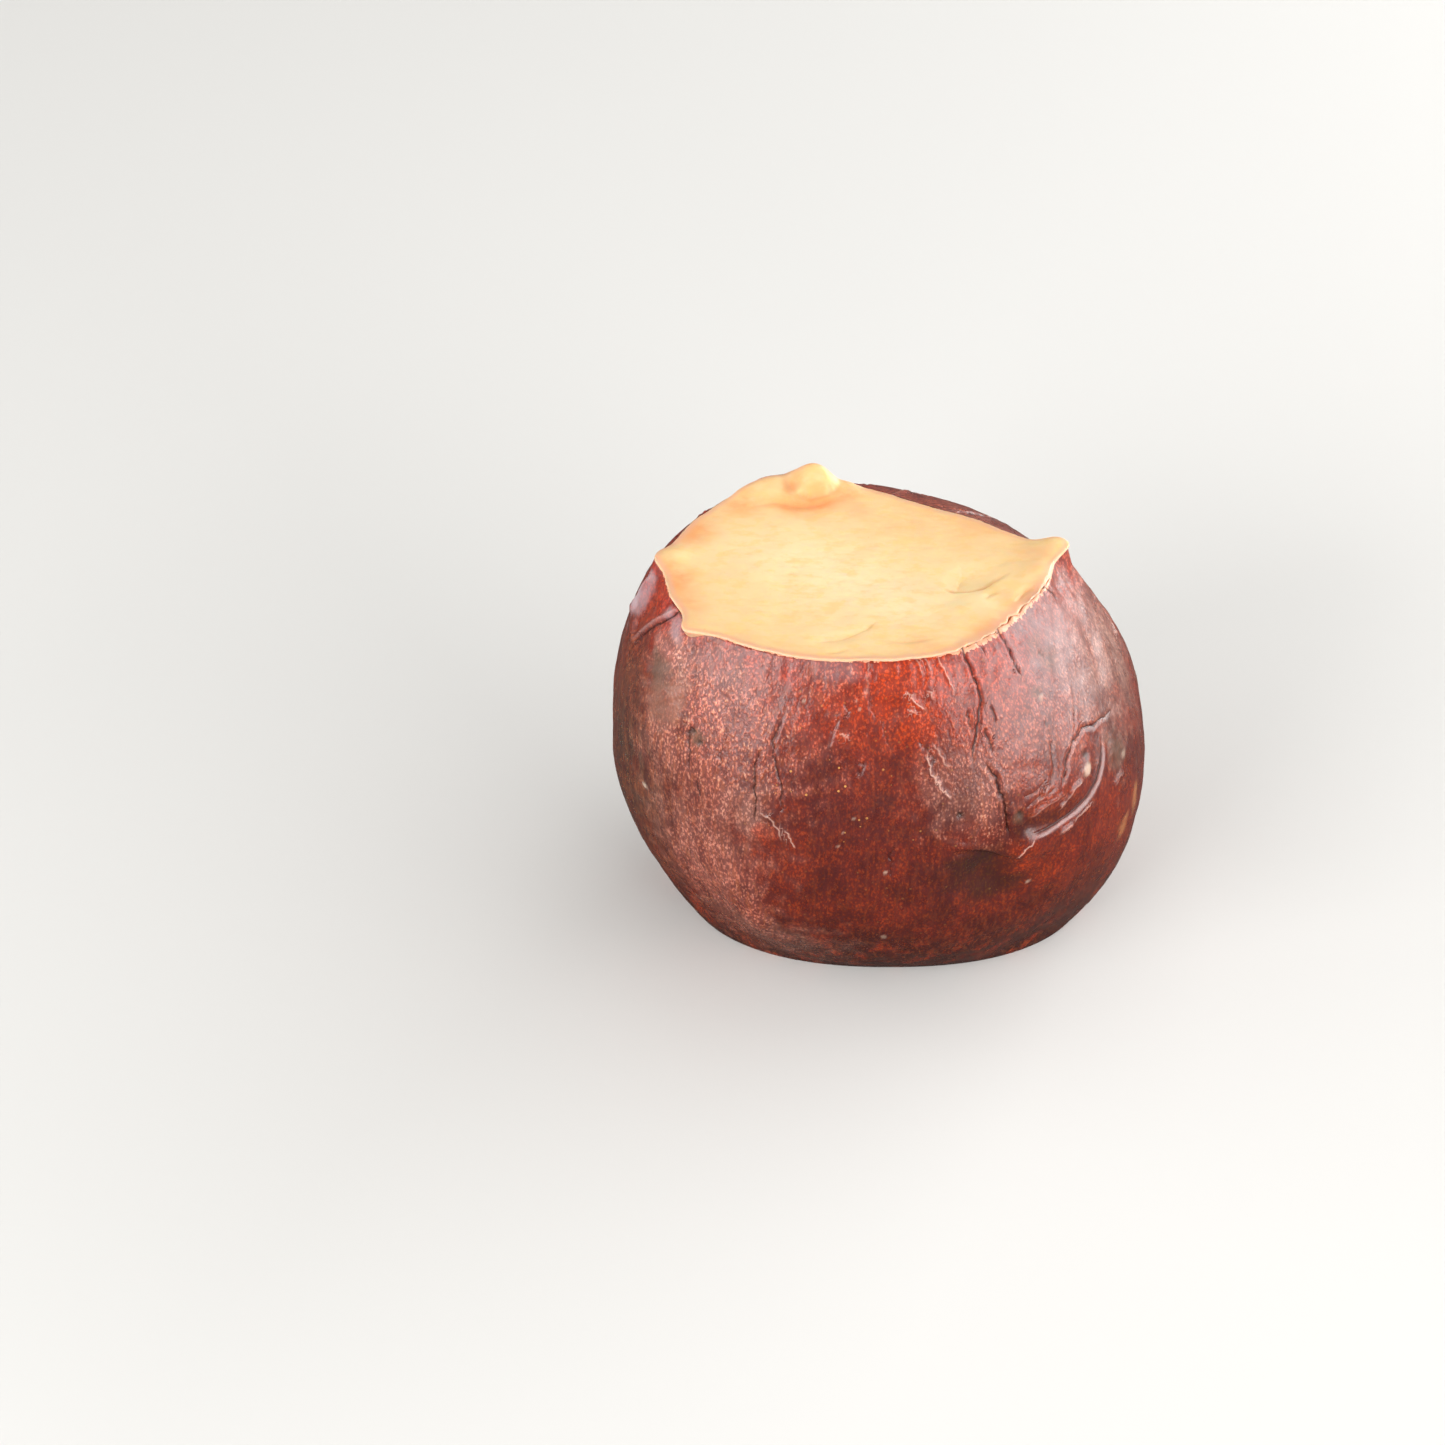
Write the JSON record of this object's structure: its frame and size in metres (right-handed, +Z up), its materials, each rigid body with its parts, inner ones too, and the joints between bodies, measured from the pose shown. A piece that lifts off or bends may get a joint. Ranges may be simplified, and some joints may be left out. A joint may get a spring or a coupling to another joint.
{
  "type": "simmered sweet potato chunk",
  "caption": "Squat chunk of candied sweet potato with glossy wrinkled skin, cut flat at both ends, standing on its lower cut.",
  "frame": {"origin": "middle of the base, on the surface that the chunk stands on", "axes": "+Z up through both cuts, +X along the wider way of the chunk, +Y away from the viewer of the picture"},
  "size_m": [0.0598, 0.0562, 0.0468],
  "materials": {
    "sweet_potato": "syrup-glazed wrinkled skin, red-brown, with pale yellow flesh on the cuts"
  },
  "bodies": {
    "root": {"sweet_potato": "sweet_potato"}
  },
  "joints": []
}
